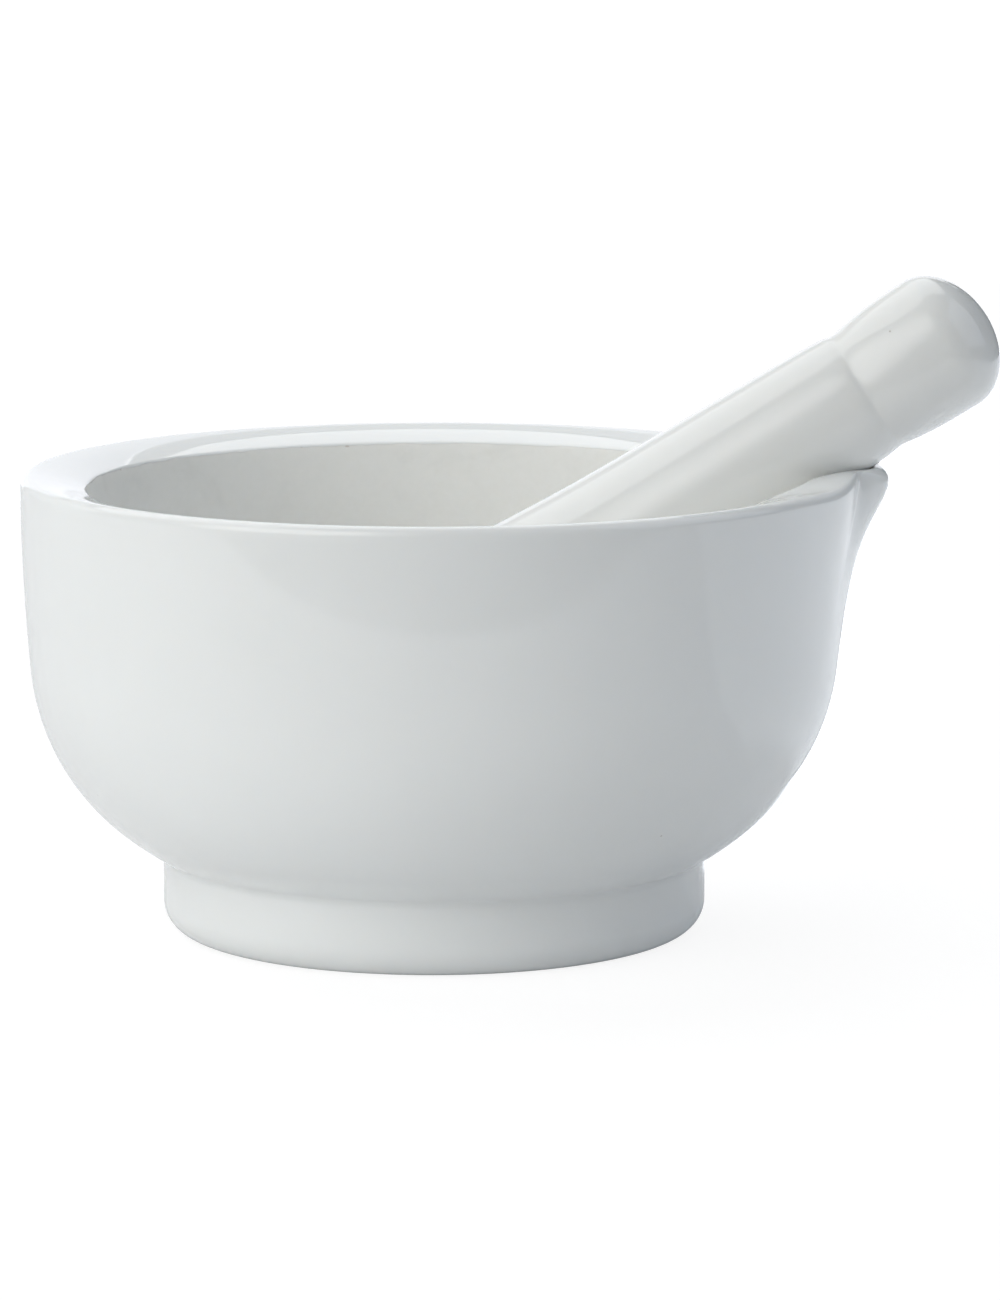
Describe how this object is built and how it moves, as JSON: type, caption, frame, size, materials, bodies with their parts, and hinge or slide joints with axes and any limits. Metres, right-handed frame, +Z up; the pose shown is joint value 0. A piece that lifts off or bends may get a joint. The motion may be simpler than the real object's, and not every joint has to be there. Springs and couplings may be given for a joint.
{
  "type": "mortar and pestle",
  "caption": "Porcelain laboratory mortar with a pouring spout and a ring foot, and its one-piece pestle resting in the bowl with its handle on the spout.",
  "frame": {"origin": "on the bench under the middle of the set's bounding box; the bowl's own vertical axis is 13.9 mm from it towards -X", "axes": "+Z up, +X from the bowl towards its spout, +Y to the left when looking along +X; the spout and the pestle's axis lie in the XZ plane"},
  "size_m": [0.1782, 0.1504, 0.1198],
  "materials": {
    "mortar_porcelain": "gloss",
    "pestle_porcelain": "gloss"
  },
  "bodies": {
    "mortar": {"mortar": "mortar_porcelain"},
    "pestle": {"pestle": "pestle_porcelain"}
  },
  "joints": [
    {"name": "pestle_lift", "type": "slide", "parent": "mortar", "child": "pestle", "axis": [0, 0, 1], "range_m": [0, 0.1]}
  ]
}
